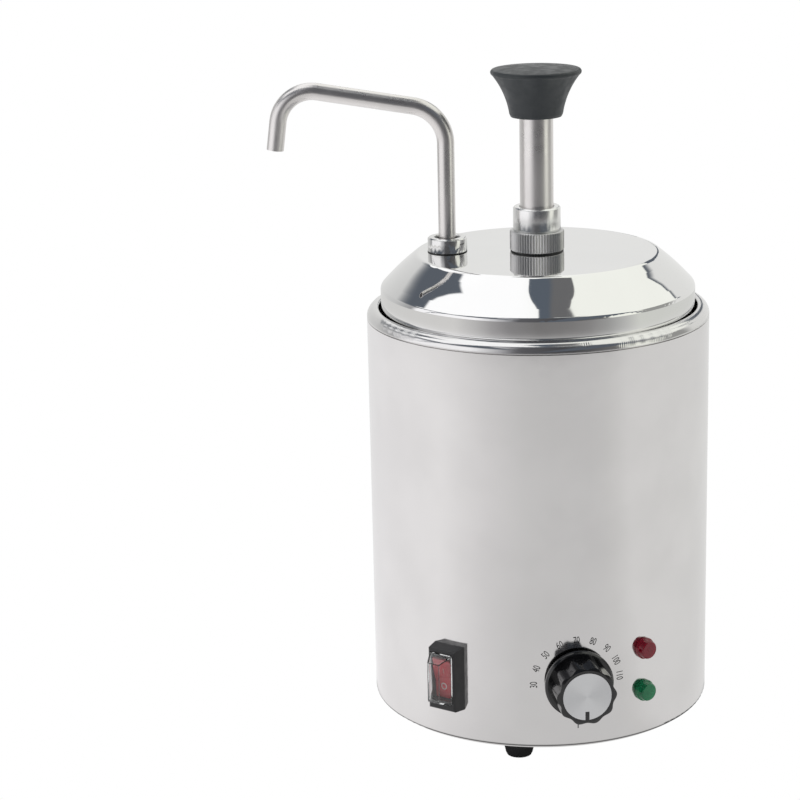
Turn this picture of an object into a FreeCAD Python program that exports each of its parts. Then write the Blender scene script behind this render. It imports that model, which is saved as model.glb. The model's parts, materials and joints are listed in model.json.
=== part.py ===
import FreeCAD, Part
import math
import os

# A heated sauce dispenser: a round water-bath warmer with a lift-out pot, and a lid that carries a
# spring-return pump with a swan-neck spout. Millimetres, +Z up. The origin is on the worktop, on the
# body's axis. The controls face -Y and the spout points to -X.

V = FreeCAD.Vector
UP = V(0, 0, 1)

# ---- driving dimensions -------------------------------------------------------------------------
SHEET = 1.0                  # stainless sheet of the body, well, pot and lid
GAP = 0.05                   # radial gap of a running fit and between joined round pieces
CLEAR = 0.3                  # gap between pieces that move past each other

BODY_R = 90.0
BODY_BOTTOM_Z = 10.0
RIM_TOP_Z = 224.3
RIM_INNER_R = 83.7
RIM_SHOULDER_R = 5.0
RIM_LIP = 1.0                # straight edge under the rim's shoulder, down to the seam with the shell
SHOULDER_Z = RIM_TOP_Z - RIM_SHOULDER_R - RIM_LIP
LEDGE_Z = 210.0
WELL_R = 77.5
WELL_FLOOR_Z = 67.0

POT_R = 74.0
POT_FLANGE_R = 83.0
POT_RIM_Z = LEDGE_Z + CLEAR + SHEET
POT_FLOOR_Z = 73.5

LID_TOP_Z = 252.3
LID_FLAT_R = 63.5
LID_SKIRT_R = 82.5
LID_CONE_Z = 234.6
LID_CROWN = 0.8
LID_EDGE_Z = POT_RIM_Z + CLEAR

FOOT_CIRCLE_R = 76.0
FOOT_TOP_R = 8.1
FOOT_BOTTOM_R = 7.0
FOOT_FIRST_DEG = -8.3
BASE_PLATE_R = 87.0
BASE_PLATE_THICK = 1.2
FOOT_HEIGHT = BODY_BOTTOM_Z - BASE_PLATE_THICK

CYLINDER_R = 12.0
CYLINDER_BORE_R = 11.0
CYLINDER_BOTTOM_Z = 122.2
NECK_R = 10.4
NECK_BORE_R = 9.15
NECK_TOP_Z = 270.0
PLUNGER_R = 8.75
PLUNGER_BORE_R = 7.75

SPOUT_X = -47.0
TUBE_R = 4.5
TUBE_BORE_R = 3.7
PORT_Z = 107.0
COLLAR_R = 10.3
COLLAR_LOW_Z = LID_TOP_Z + 0.4
COLLAR_TOP_Z = 260.2

SWITCH_DEG = -31.2
SWITCH_Z = 44.5
DIAL_DEG = 12.5
DIAL_Z = 45.3
LAMP_DEG = 36.5
RED_LAMP_Z = 58.0
GREEN_LAMP_Z = 34.8
GLAND_DEG = 180.0
GLAND_Z = 32.0


# ---- shared shapes ------------------------------------------------------------------------------
def unit(vector):
    return vector * (1.0 / vector.Length)


def rounded_edges(corners, radii):
    """Straight runs through the corners, with a tangent arc of radii[i] at inner corner i."""
    edges = []
    start = corners[0]
    for before, corner, after, radius in zip(corners, corners[1:], corners[2:], radii):
        arriving = unit(corner - before)
        leaving = unit(after - corner)
        half_turn = arriving.getAngle(leaving) / 2
        reach = radius * math.tan(half_turn)
        arc_start = corner - arriving * reach
        arc_end = corner + leaving * reach
        centre = corner + unit(leaving - arriving) * (radius / math.cos(half_turn))
        middle = centre + unit(corner - centre) * radius
        edges.append(Part.LineSegment(start, arc_start).toShape())
        edges.append(Part.Arc(arc_start, middle, arc_end).toShape())
        start = arc_end
    edges.append(Part.LineSegment(start, corners[-1]).toShape())
    return edges


def turned(outline):
    """A solid of revolution about the Z axis from a closed outline of (r, z) points."""
    points = [V(r, 0, z) for r, z in outline]
    face = Part.Face(Part.makePolygon(points + points[:1]))
    return face.revolve(V(0, 0, 0), UP, 360)


def pressed_sheet(outline, radii):
    """Sheet metal turned about Z. The outline runs along its outer side; the sheet lies to the left."""
    outer = [V(r, 0, z) for r, z in outline]
    inner = []
    inner_radii = []
    for index, point in enumerate(outer):
        arriving = unit(point - outer[index - 1]) if index else unit(outer[1] - point)
        leaving = unit(outer[index + 1] - point) if index < len(outer) - 1 else arriving
        left_in = V(-arriving.z, 0, arriving.x)
        left_out = V(-leaving.z, 0, leaving.x)
        mitre = unit(left_in + left_out)
        inner.append(point + mitre * (SHEET / mitre.dot(left_in)))
        if 0 < index < len(outer) - 1:
            turns_left = arriving.x * leaving.z - arriving.z * leaving.x > 0
            inner_radii.append(radii[index - 1] - SHEET if turns_left else radii[index - 1] + SHEET)
    edges = rounded_edges(outer, radii)
    edges.append(Part.LineSegment(outer[-1], inner[-1]).toShape())
    edges += rounded_edges(inner[::-1], inner_radii[::-1])
    edges.append(Part.LineSegment(inner[0], outer[0]).toShape())
    face = Part.Face(Part.Wire(Part.__sortEdges__(edges)))
    return face.revolve(V(0, 0, 0), UP, 360)


def rod(radius, low_z, high_z, x=0.0, y=0.0):
    return Part.makeCylinder(radius, high_z - low_z, V(x, y, low_z))


def ring(outer_r, inner_r, low_z, high_z, x=0.0, y=0.0):
    return rod(outer_r, low_z, high_z, x, y).cut(rod(inner_r, low_z - 1, high_z + 1, x, y))


def block(size_x, size_y, low_z, high_z, x=0.0, y=0.0):
    corner = V(x - size_x / 2, y - size_y / 2, low_z)
    return Part.makeBox(size_x, size_y, high_z - low_z, corner)


def hexagon(across_flats, low_z, high_z, x=0.0, y=0.0):
    corner_r = across_flats / math.sqrt(3)
    points = [
        V(x + corner_r * math.cos(math.radians(60 * i)), y + corner_r * math.sin(math.radians(60 * i)), low_z)
        for i in range(7)
    ]
    return Part.Face(Part.makePolygon(points)).extrude(UP * (high_z - low_z))


def o_ring(middle_r, wire_r, z):
    return Part.makeTorus(middle_r, wire_r, V(0, 0, z))


def swept(corners, bend_r, radius):
    """A round bar along straight runs with equal bends."""
    path = Part.Wire(rounded_edges(corners, [bend_r] * (len(corners) - 2)))
    start = Part.Circle(corners[0], unit(corners[1] - corners[0]), radius).toShape()
    return path.makePipeShell([Part.Wire(start)], True, False)


def tube(corners, bends, outer_r, inner_r):
    """A bent tube. bends holds one radius for each inner corner."""
    path = Part.Wire(rounded_edges(corners, bends))
    direction = unit(corners[1] - corners[0])
    solids = []
    for radius in (outer_r, inner_r):
        start = Part.Circle(corners[0], direction, radius).toShape()
        solids.append(path.makePipeShell([Part.Wire(start)], True, False))
    return solids[0].cut(solids[1])


def tapered_box(back, back_z, front, front_z):
    """A frustum between two centred rectangles, each given as (width, height)."""
    wires = []
    for (width, height), z in ((back, back_z), (front, front_z)):
        half_w = width / 2
        half_h = height / 2
        corners = [V(-half_w, -half_h, z), V(half_w, -half_h, z), V(half_w, half_h, z), V(-half_w, half_h, z)]
        wires.append(Part.makePolygon(corners + corners[:1]))
    return Part.makeLoft(wires, True, True)


def on_panel(shape, around_deg, height):
    """Put a piece on the body's wall. In the piece, +X is to the right as seen from outside, +Y is up,
    and +Z points out of the wall and measures the distance from the body's axis."""
    angle = math.radians(around_deg)
    matrix = FreeCAD.Matrix(
        math.cos(angle), 0, math.sin(angle), 0,
        math.sin(angle), 0, -math.cos(angle), 0,
        0, 1, 0, height,
        0, 0, 0, 1,
    )
    placed = shape.copy()
    placed.Placement = FreeCAD.Placement(matrix).multiply(shape.Placement)
    return placed


def around(shape, count, first_deg):
    """Copies of a shape, evenly spaced round the body's axis. Angle 0 is the front."""
    copies = []
    for index in range(count):
        copy = shape.copy()
        copy.rotate(V(0, 0, 0), UP, first_deg + index * 360.0 / count)
        copies.append(copy)
    return copies


def group(shapes):
    return Part.makeCompound(shapes)


# ---- housing: sheet metal, base and feet --------------------------------------------------------
FLANGE_INNER_R = 68.0
SWITCH_HOLE = (13.4, 28.9)
DIAL_HOLE_R = 5.2
DIAL_SCREW_X = 14.0
LAMP_HOLE_R = 5.05
GLAND_HOLE_R = 6.2
FOOT_SCREW_R = 1.5
FOOT_RECESS_R = 3.0
FOOT_RECESS_Z = 3.4
VENT_COUNT = 12


def burrs(radius, low_z):
    """What is ground off both sides of a flange's inner edge, so that it comes to a blunt ridge."""
    half = SHEET / 2
    outline = [
        (radius - 1.0, low_z - 0.1),
        (radius + half + 0.1, low_z - 0.1),
        (radius, low_z + half),
        (radius + half + 0.1, low_z + SHEET + 0.1),
        (radius - 1.0, low_z + SHEET + 0.1),
    ]
    return turned(outline)


def outer_shell():
    outline = [
        (FLANGE_INNER_R, BODY_BOTTOM_Z),
        (BODY_R, BODY_BOTTOM_Z),
        (BODY_R, SHOULDER_Z - GAP),
    ]
    shell = pressed_sheet(outline, [2.0])
    shell = shell.cut(burrs(FLANGE_INNER_R, BODY_BOTTOM_Z))
    shell = shell.cut(on_panel(block(*SWITCH_HOLE, 80, 100), SWITCH_DEG, SWITCH_Z))
    shell = shell.cut(on_panel(rod(DIAL_HOLE_R, 80, 100), DIAL_DEG, DIAL_Z))
    for side in (-1, 1):
        shell = shell.cut(on_panel(rod(2.15, 80, 100, side * DIAL_SCREW_X), DIAL_DEG, DIAL_Z))
    for lamp_z in (RED_LAMP_Z, GREEN_LAMP_Z):
        shell = shell.cut(on_panel(rod(LAMP_HOLE_R, 80, 100), LAMP_DEG, lamp_z))
    shell = shell.cut(on_panel(rod(GLAND_HOLE_R, 80, 100), GLAND_DEG, GLAND_Z))
    for hole in around(rod(FOOT_SCREW_R + GAP, 5, 15, 0, -FOOT_CIRCLE_R), 4, FOOT_FIRST_DEG):
        shell = shell.cut(hole)
    return shell


def water_well():
    outline = [
        (BODY_R, SHOULDER_Z),
        (BODY_R, RIM_TOP_Z),
        (RIM_INNER_R, RIM_TOP_Z),
        (RIM_INNER_R, LEDGE_Z),
        (WELL_R, LEDGE_Z),
        (WELL_R, WELL_FLOOR_Z),
        (0, WELL_FLOOR_Z),
    ]
    return pressed_sheet(outline, [RIM_SHOULDER_R, 1.25, 1.0, 1.5, 6.0])


def base_plate():
    plate = rod(BASE_PLATE_R, FOOT_HEIGHT, BODY_BOTTOM_Z)
    slot = block(4.0, 20.0, FOOT_HEIGHT - 1, BODY_BOTTOM_Z + 1, 0, -45.0)
    for cut in around(slot, VENT_COUNT, 15.0):
        plate = plate.cut(cut)
    for hole in around(rod(FOOT_SCREW_R + GAP, 5, 15, 0, -FOOT_CIRCLE_R), 4, FOOT_FIRST_DEG):
        plate = plate.cut(hole)
    return plate


def foot():
    outline = [
        (FOOT_SCREW_R + GAP, FOOT_RECESS_Z),
        (FOOT_RECESS_R, FOOT_RECESS_Z),
        (FOOT_RECESS_R, 0),
        (FOOT_BOTTOM_R - 1.7, 0),
        (FOOT_BOTTOM_R - 0.6, 0.5),
        (FOOT_BOTTOM_R, 1.7),
        (FOOT_TOP_R, FOOT_HEIGHT - 2.4),
        (FOOT_TOP_R, FOOT_HEIGHT),
        (FOOT_SCREW_R + GAP, FOOT_HEIGHT),
    ]
    return turned(outline)


def foot_screw():
    shank = rod(FOOT_SCREW_R, FOOT_RECESS_Z, 16.0)
    head = rod(FOOT_RECESS_R - 0.25, 1.4, FOOT_RECESS_Z)
    slot = block(0.7, 3.6, 1.0, 2.4)
    return shank.fuse(head).cut(slot).cut(slot.rotated(V(0, 0, 0), UP, 90)).removeSplitter()


def foot_nut():
    return hexagon(5.5, BODY_BOTTOM_Z + SHEET, 13.4).cut(rod(FOOT_SCREW_R + GAP, 5, 20))


def at_feet(shape):
    moved = shape.translated(V(0, -FOOT_CIRCLE_R, 0))
    return around(moved, 4, FOOT_FIRST_DEG)


# ---- housing: heating ---------------------------------------------------------------------------
SPREADER_R = 58.0
SPREADER_TOP_Z = WELL_FLOOR_Z - SHEET
SPREADER_Z = SPREADER_TOP_Z - 3.0
ELEMENT_RING_R = 42.0
ELEMENT_R = 3.3
ELEMENT_Z = SPREADER_Z - ELEMENT_R
COLD_END_DEG = 25.0
COLD_END_Z = 40.0
CUTOUT_R = 8.0


def heat_spreader():
    """Aluminium disc brazed under the well's floor."""
    plate = rod(SPREADER_R, SPREADER_Z, SPREADER_TOP_Z)
    for side in (-1, 1):
        plate = plate.cut(rod(1.55, SPREADER_Z - 1, SPREADER_TOP_Z + 1, side * 12.0))
    return plate


def heating_element():
    """One open loop of sheathed element; both cold ends turn down at the back."""
    sweep_deg = 360 - 2 * COLD_END_DEG
    ring_part = Part.makeTorus(ELEMENT_RING_R, ELEMENT_R, V(0, 0, ELEMENT_Z), UP, 0, 360, sweep_deg)
    ring_part.rotate(V(0, 0, 0), UP, 90 + COLD_END_DEG)
    solids = [ring_part]
    for side in (-1, 1):
        angle = math.radians(90 + side * COLD_END_DEG)
        x = ELEMENT_RING_R * math.cos(angle)
        y = ELEMENT_RING_R * math.sin(angle)
        solids.append(Part.makeSphere(ELEMENT_R, V(x, y, ELEMENT_Z)))
        solids.append(rod(ELEMENT_R, COLD_END_Z, ELEMENT_Z, x, y))
    return solids[0].multiFuse(solids[1:]).removeSplitter()


def element_tabs():
    tabs = []
    for side in (-1, 1):
        angle = math.radians(90 + side * COLD_END_DEG)
        x = ELEMENT_RING_R * math.cos(angle)
        y = ELEMENT_RING_R * math.sin(angle)
        tabs.append(block(0.8, 6.3, COLD_END_Z - 10, COLD_END_Z, x, y))
    return tabs


def element_clips():
    """Bent straps that hold the element up against the spreader."""
    half = ELEMENT_R + 0.3
    low_z = SPREADER_Z - 2 * ELEMENT_R - GAP
    strap = block(8.0, 2 * half + 2.0, low_z - 1.0, SPREADER_Z, ELEMENT_RING_R)
    strap = strap.cut(block(9.0, 2 * half, low_z, SPREADER_Z + 1, ELEMENT_RING_R))
    strap.rotate(V(ELEMENT_RING_R, 0, 0), UP, 90)
    return around(strap, 2, 0.0)


def thermal_cutout():
    """Bimetal safety switch under the middle of the spreader, with its two flange ears."""
    can = rod(CUTOUT_R, SPREADER_Z - 10.0, SPREADER_Z)
    ears = block(31.0, 8.0, SPREADER_Z - 0.8, SPREADER_Z)
    body = can.fuse(ears)
    for side in (-1, 1):
        body = body.cut(rod(1.55, SPREADER_Z - 5, SPREADER_Z + 5, side * 12.0))
    return body.removeSplitter()


def cutout_screws():
    screws = []
    for side in (-1, 1):
        shank = rod(1.5, SPREADER_Z - 0.8, SPREADER_TOP_Z, side * 12.0)
        head = rod(2.8, SPREADER_Z - 2.6, SPREADER_Z - 0.8, side * 12.0)
        screws.append(shank.fuse(head).removeSplitter())
    return group(screws)


def cutout_tabs():
    return [block(6.3, 0.8, SPREADER_Z - 18.0, SPREADER_Z - 10.0, 0, side * 4.5) for side in (-1, 1)]


# ---- housing: thermostat ------------------------------------------------------------------------
PLATE_FRONT = 87.1
PLATE_BACK = 85.9
THERMOSTAT_BACK = 65.9
SHAFT_R = 3.0
BULB_R = 3.0
BULB_X = WELL_R + SHEET + BULB_R + 0.3
BULB_LOW_Z = 80.0
BULB_HIGH_Z = 140.0
BULB_DEG = 62.0


def thermostat_plate():
    plate = block(34.0, 28.0, PLATE_BACK, PLATE_FRONT)
    bushing = rod(5.0, PLATE_FRONT, 90.6)
    part = plate.fuse(bushing).cut(rod(SHAFT_R + GAP, 80, 100))
    for side in (-1, 1):
        part = part.cut(rod(2.0 + GAP, 80, 100, side * DIAL_SCREW_X))
    return part.removeSplitter()


def thermostat_body():
    case = block(33.0, 33.0, THERMOSTAT_BACK, PLATE_BACK)
    case = case.cut(rod(SHAFT_R + GAP, 80.0, 90.0))
    for side in (-1, 1):
        case = case.cut(rod(2.0 + GAP, 81.0, 90.0, side * DIAL_SCREW_X))
    return case


def thermostat_tabs():
    tabs = [block(0.8, 6.3, THERMOSTAT_BACK - 8.0, THERMOSTAT_BACK, x, -8.0) for x in (-8.0, 0.0)]
    return [on_panel(tab, DIAL_DEG, DIAL_Z) for tab in tabs]


def thermostat_screws():
    screws = []
    for side in (-1, 1):
        shank = rod(2.0, 82.0, 89.45, side * DIAL_SCREW_X)
        head = rod(3.4, 89.45, 91.4, side * DIAL_SCREW_X)
        slot = block(0.9, 8.0, 90.6, 92.0, side * DIAL_SCREW_X)
        screws.append(shank.fuse(head).removeSplitter().cut(slot))
    return group(screws)


def at_bulb(shape):
    return shape.rotated(V(0, 0, 0), UP, BULB_DEG - 90)


def sensor_bulb():
    """Liquid-filled bulb held against the outside of the well."""
    bulb = rod(BULB_R, BULB_LOW_Z, BULB_HIGH_Z, BULB_X)
    return at_bulb(bulb)


def bulb_clip():
    inner = BULB_R + GAP
    outer = inner + 0.8
    clip = ring(outer, inner, 100.0, 116.0, BULB_X)
    clip = clip.cut(block(4.0, 20.0, 99.0, 117.0, BULB_X - outer))
    return at_bulb(clip)


def capillary():
    """Thin copper line from the bulb's lower end round to the thermostat."""
    bulb_angle = math.radians(BULB_DEG - 90)
    bulb = V(BULB_X * math.cos(bulb_angle), BULB_X * math.sin(bulb_angle), BULB_LOW_Z)
    dial = math.radians(DIAL_DEG)
    right = V(math.cos(dial), math.sin(dial), 0)
    out = V(math.sin(dial), -math.cos(dial), 0)
    entry = out * 74.0 + right * 16.5 + UP * 52.0
    corners = [bulb, V(bulb.x, bulb.y, 71.0), entry + right * 11.0 - out * 13.0, entry + right * 9.0, entry]
    return swept(corners, 3.0, 0.8)


# ---- housing: switch, lamps, wiring and cable entry ---------------------------------------------
BEZEL_FRONT = 97.9
ROCKER_Y = 0.9
ROCKER_PIVOT = 91.0
ROCKER_TILT_DEG = 10.0
ROCKER_HALF_W = 5.3
ROCKER_PIN_R = 1.2
FRAME_OPENING = (11.2, 24.2)


def switch_frame():
    """Rocker switch housing: a deep bezel on the wall and a snap-in body behind it."""
    bezel = tapered_box((18.2, 35.0), 87.0, (15.9, 32.7), BEZEL_FRONT)
    bezel = bezel.makeChamfer(0.8, [edge for edge in bezel.Edges if edge.BoundBox.ZMin > BEZEL_FRONT - 0.01])
    bezel = bezel.cut(on_wall_cylinder())
    body = block(13.0, 28.5, 68.0, 91.0)
    frame = bezel.fuse(body).removeSplitter()
    frame = frame.cut(block(*FRAME_OPENING, 84.0, 100.0, 0, ROCKER_Y))
    pin_hole = Part.makeCylinder(ROCKER_PIN_R + GAP, 12.6, V(-6.3, ROCKER_Y, ROCKER_PIVOT), V(1, 0, 0))
    return frame.cut(pin_hole)


def on_wall_cylinder():
    """The body's outer surface as a switch sees it: its axis runs along the switch's height."""
    return Part.makeCylinder(BODY_R + 0.03, 80, V(0, -40, 0), V(0, 1, 0))


def switch_cover():
    """Clear splash hood over the rocker."""
    outer = tapered_box((13.6, 27.4), BEZEL_FRONT, (7.2, 21.4), 105.2)
    inner = tapered_box((12.2, 26.0), BEZEL_FRONT - 0.4, (5.8, 20.0), 104.4)
    return outer.cut(inner).translated(V(0, ROCKER_Y, 0))


def switch_tabs():
    tabs = [block(6.3, 0.8, 60.0, 68.0, 0, y) for y in (-9.0, 0.0, 9.0)]
    return [on_panel(tab, SWITCH_DEG, SWITCH_Z) for tab in tabs]


def switch_rocker():
    profile = [(-8.6, -3.0), (8.6, -3.0), (11.0, 3.6), (11.0, 5.2), (0, 4.0), (-11.0, 5.2), (-11.0, 3.6)]
    points = [V(-ROCKER_HALF_W, ROCKER_Y + y, ROCKER_PIVOT + z) for y, z in profile]
    prism = Part.Face(Part.makePolygon(points + points[:1])).extrude(V(2 * ROCKER_HALF_W, 0, 0))
    pin = Part.makeCylinder(ROCKER_PIN_R, 12.4, V(-6.2, ROCKER_Y, ROCKER_PIVOT), V(1, 0, 0))
    rocker = prism.fuse(pin).removeSplitter()
    rocker.rotate(V(0, ROCKER_Y, ROCKER_PIVOT), V(1, 0, 0), ROCKER_TILT_DEG)
    return rocker


def lamp_lens():
    outline = [(0, 90.1), (5.6, 90.1), (5.6, 91.5), (5.0, 92.0), (4.7, 94.4), (4.2, 95.0), (0, 95.2)]
    return turned(outline)


def lamp_body():
    return rod(4.9, 70.0, 90.1)


def lamp_nut():
    return hexagon(12.0, 85.2, 88.2).cut(rod(4.9 + GAP, 80, 95))


def lamp_tabs():
    tabs = [block(2.8, 0.5, 64.0, 70.0, 0, y) for y in (-2.0, 2.0)]
    return [on_panel(tab, LAMP_DEG, lamp_z) for tab in tabs for lamp_z in (RED_LAMP_Z, GREEN_LAMP_Z)]


def cable_gland():
    body = hexagon(15.0, 90.4, 94.4).fuse(rod(6.0, 78.0, 90.4)).fuse(rod(6.2, 94.4, 101.0))
    return body.removeSplitter().cut(rod(5.0, 70, 110))


def gland_cap():
    cap = turned([(0, 94.6), (7.6, 94.6), (7.6, 102.0), (6.2, 105.5), (0, 105.5)])
    return cap.cut(rod(6.25, 90, 101.2)).cut(rod(3.9, 100, 110))


def gland_seal():
    return ring(4.95, 3.5, 86.0, 101.0)


def gland_nut():
    return hexagon(15.0, 84.5, 88.4).cut(rod(6.0 + GAP, 80, 95))


TERMINAL_BLOCK_Y = 34.0


def terminal_block():
    body = block(30.0, 18.0, BODY_BOTTOM_Z, 24.0, 0, TERMINAL_BLOCK_Y)
    for x in (-11.0, 0.0, 11.0):
        body = body.cut(rod(2.6, 18.0, 30.0, x, TERMINAL_BLOCK_Y))
        body = body.cut(Part.makeCylinder(2.0, 30, V(x, TERMINAL_BLOCK_Y - 15, 15.5), V(0, 1, 0)))
    return body


def terminal_screws():
    return group([rod(2.5, 18.6, 22.6, x, TERMINAL_BLOCK_Y) for x in (-11.0, 0.0, 11.0)])


def earth_stud():
    """Welded stud on the base plate with its nut."""
    stud = rod(2.0, BODY_BOTTOM_Z, 24.0, -30.0, 22.0)
    nut = hexagon(7.0, 14.0, 17.2, -30.0, 22.0)
    return stud.fuse(nut).removeSplitter()


def wire(corners, bend_r=5.0):
    return swept([V(*corner) for corner in corners], bend_r, 1.1)


def live_wires():
    """Terminal block to switch, switch to thermostat, thermostat to cut-out, cut-out to element."""
    supply = [(-11, 24.5, 15.5), (-11, 6, 15.5), (-14, -30, 24), (-26.5, -43, 35.5), (-30.8, -50.9, 35.5)]
    switched = [(-30.8, -50.9, 44.5), (-25, -40, 44.5), (-2, -40, 42), (4.7, -49.6, 37.3), (6.2, -56.3, 37.3)]
    regulated = [(12, -55, 37.3), (9, -44, 37.3), (4, -22, 40), (0, -4.5, 40), (0, -4.5, 44.9)]
    protected = [(0, 4.5, 44.9), (0, 4.5, 38), (10, 22, 30), (17.75, 38.07, 24), (17.75, 38.07, 29.9)]
    return [wire(supply), wire(switched), wire(regulated, 4.0), wire(protected, 3.0)]


def neutral_wire():
    """Terminal block to the element's other end."""
    corners = [(0, 24.5, 15.5), (0, 8, 15.5), (-22, 14, 20), (-24.0, 40.0, 20), (-17.75, 38.07, 24.0)]
    return wire(corners + [(-17.75, 38.07, 29.9)], 2.0)


def earth_wire():
    """Terminal block to the stud on the base plate."""
    return wire([(11, 24.5, 15.5), (11, 6, 13), (-12, -2, 12.4), (-27, 8, 18.6), (-30, 18, 18.6)])


# ---- control knob -------------------------------------------------------------------------------
KNOB_BACK = 92.0
KNOB_FACE = 110.0
FLANGE_R = 17.9
GRIP_R = 14.9
LOBE_DEPTH = 0.65
LOBES = 10
CAP_R = 12.5
POINTER = (2.0, 4.4)


def thermostat_shaft():
    shaft = rod(SHAFT_R, 80.4, 104.0)
    return shaft.cut(block(10, 5, 94.0, 110.0, 0, 4.5))


def lobed_outline(z):
    points = []
    for step in range(LOBES * 8):
        angle = 2 * math.pi * step / (LOBES * 8)
        radius = GRIP_R + LOBE_DEPTH * math.cos(LOBES * angle)
        points.append(V(radius * math.cos(angle), radius * math.sin(angle), z))
    curve = Part.BSplineCurve()
    curve.interpolate(points, True)
    return Part.Face(Part.Wire(curve.toShape()))


def pointer_bar(low_z, high_z):
    width, length = POINTER
    return block(width, length, low_z, high_z, 0, -CAP_R + length / 2)


def dial_knob():
    """Black fluted grip on a round skirt, with the raised pointer that shows through the cap."""
    skirt_face = [(FLANGE_R, 93.4), (FLANGE_R - 1.0, 94.4), (0, 94.4)]
    skirt = turned([(0, KNOB_BACK), (FLANGE_R, KNOB_BACK)] + skirt_face)
    grip = lobed_outline(94.0).extrude(UP * (KNOB_FACE - 94.0))
    rounding = turned([(0, 93.0), (20, 93.0), (20, 108.0), (CAP_R + 1.4, KNOB_FACE), (0, KNOB_FACE)])
    knob = skirt.fuse(grip.common(rounding)).removeSplitter()
    knob = knob.cut(rod(CAP_R + GAP, KNOB_FACE - 0.6, KNOB_FACE + 1))
    knob = knob.fuse(pointer_bar(KNOB_FACE - 0.6, KNOB_FACE + 0.3)).removeSplitter()
    bore = rod(SHAFT_R + GAP, KNOB_BACK - 1, 104.3).cut(block(10, 5, 94.0, 110.0, 0, 4.55))
    return knob.cut(bore)


def knob_cap():
    width, length = POINTER
    notch_length = length + 1.05
    cap = rod(CAP_R, KNOB_FACE - 0.6, KNOB_FACE + 0.2)
    notch_y = notch_length / 2 - CAP_R - 1
    return cap.cut(block(width + 0.1, notch_length, KNOB_FACE - 1, KNOB_FACE + 1, 0, notch_y))


# ---- sauce pot ----------------------------------------------------------------------------------
def sauce_pot():
    outline = [(POT_FLANGE_R, POT_RIM_Z), (POT_R, POT_RIM_Z), (POT_R, POT_FLOOR_Z), (0, POT_FLOOR_Z)]
    return pressed_sheet(outline, [2.0, 8.0])


# ---- lid ----------------------------------------------------------------------------------------
def lid():
    """Pressed lid: a short skirt, a slightly crowned cone and a flat top."""
    cone_run = LID_SKIRT_R - LID_FLAT_R
    cone_rise = LID_TOP_Z - LID_CONE_Z
    lift = LID_CROWN / math.hypot(cone_run, cone_rise)
    crown_r = (LID_SKIRT_R + LID_FLAT_R) / 2 + lift * cone_rise
    crown_z = (LID_CONE_Z + LID_TOP_Z) / 2 + lift * cone_run
    outline = [
        (LID_SKIRT_R, LID_EDGE_Z),
        (LID_SKIRT_R, LID_CONE_Z),
        (crown_r, crown_z),
        (LID_FLAT_R, LID_TOP_Z),
        (0, LID_TOP_Z),
    ]
    sheet = pressed_sheet(outline, [3.0, 110.0, 4.0])
    sheet = sheet.cut(rod(NECK_R + 0.2, 240, 260))
    return sheet.cut(rod(TUBE_R + 0.2, 240, 260, SPOUT_X))


# ---- pump: fixed pieces -------------------------------------------------------------------------
SHOULDER_TOP_Z = LID_TOP_Z - SHEET - 0.5
SHOULDER_LOW_Z = SHOULDER_TOP_Z - 1.8
NUT_LOW_Z = LID_TOP_Z + 0.5
NUT_TOP_Z = 263.5
GLAND_TOP_Z = 276.0
VALVE_LOW_Z = 91.0
VALVE_SPIGOT_TOP_Z = 128.0
CHAMBER_R = 6.0
SOCKET_R = 7.0
NOSE_R = 8.4
NOSE_LOW_Z = 76.5
INLET_BORE_R = 3.0
SEAT_EDGE_Z = 95.7
NOZZLE_TOP_Z = 96.9
INLET_BALL_R = 4.0
INLET_BALL_Z = SEAT_EDGE_Z + math.sqrt(INLET_BALL_R**2 - INLET_BORE_R**2) + GAP
BALL_LIFT = 2.5
INLET_PIN_Z = INLET_BALL_Z + INLET_BALL_R + BALL_LIFT + 0.8
PIN_R = 0.6
OUTLET_SEAT_LOW_Z = 130.0
OUTLET_SEAT_TOP_Z = 132.0
OUTLET_BORE_R = 2.0
OUTLET_BALL_R = 2.9
OUTLET_BALL_Z = OUTLET_SEAT_TOP_Z + math.sqrt(OUTLET_BALL_R**2 - OUTLET_BORE_R**2) + GAP
OUTLET_PIN_Z = OUTLET_BALL_Z + OUTLET_BALL_R + BALL_LIFT + 0.8


def pump_cylinder():
    """Cylinder with the shoulder that clamps under the lid and the threaded neck above it."""
    outline = [
        (CYLINDER_BORE_R, CYLINDER_BOTTOM_Z),
        (CYLINDER_R - 0.3, CYLINDER_BOTTOM_Z),
        (CYLINDER_R, CYLINDER_BOTTOM_Z + 0.3),
        (CYLINDER_R, SHOULDER_LOW_Z),
        (16.0, SHOULDER_LOW_Z),
        (16.0, SHOULDER_TOP_Z),
        (NECK_R, SHOULDER_TOP_Z),
        (NECK_R, NECK_TOP_Z),
        (NECK_BORE_R, NECK_TOP_Z),
        (NECK_BORE_R, SHOULDER_LOW_Z + 0.2),
        (CYLINDER_BORE_R, SHOULDER_LOW_Z + 0.2),
    ]
    return turned(outline)


def pump_gasket():
    return ring(15.5, NECK_R + 0.2, SHOULDER_TOP_Z, SHOULDER_TOP_Z + 0.5)


def nut_washer():
    return ring(13.9, NECK_R + 0.1, LID_TOP_Z, NUT_LOW_Z)


def knurled_nut():
    teeth = 60
    points = []
    for step in range(2 * teeth):
        angle = math.pi * step / teeth
        radius = 14.2 if step % 2 else 13.7
        points.append(V(radius * math.cos(angle), radius * math.sin(angle), NUT_LOW_Z))
    body = Part.Face(Part.makePolygon(points + points[:1])).extrude(UP * (NUT_TOP_Z - NUT_LOW_Z))
    chamfers = [(0, NUT_LOW_Z), (13.5, NUT_LOW_Z), (14.3, NUT_LOW_Z + 0.8), (14.3, NUT_TOP_Z - 0.8)]
    body = body.common(turned(chamfers + [(13.5, NUT_TOP_Z), (0, NUT_TOP_Z)]))
    return body.cut(rod(NECK_R + GAP, NUT_LOW_Z - 1, NUT_TOP_Z + 1))


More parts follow.
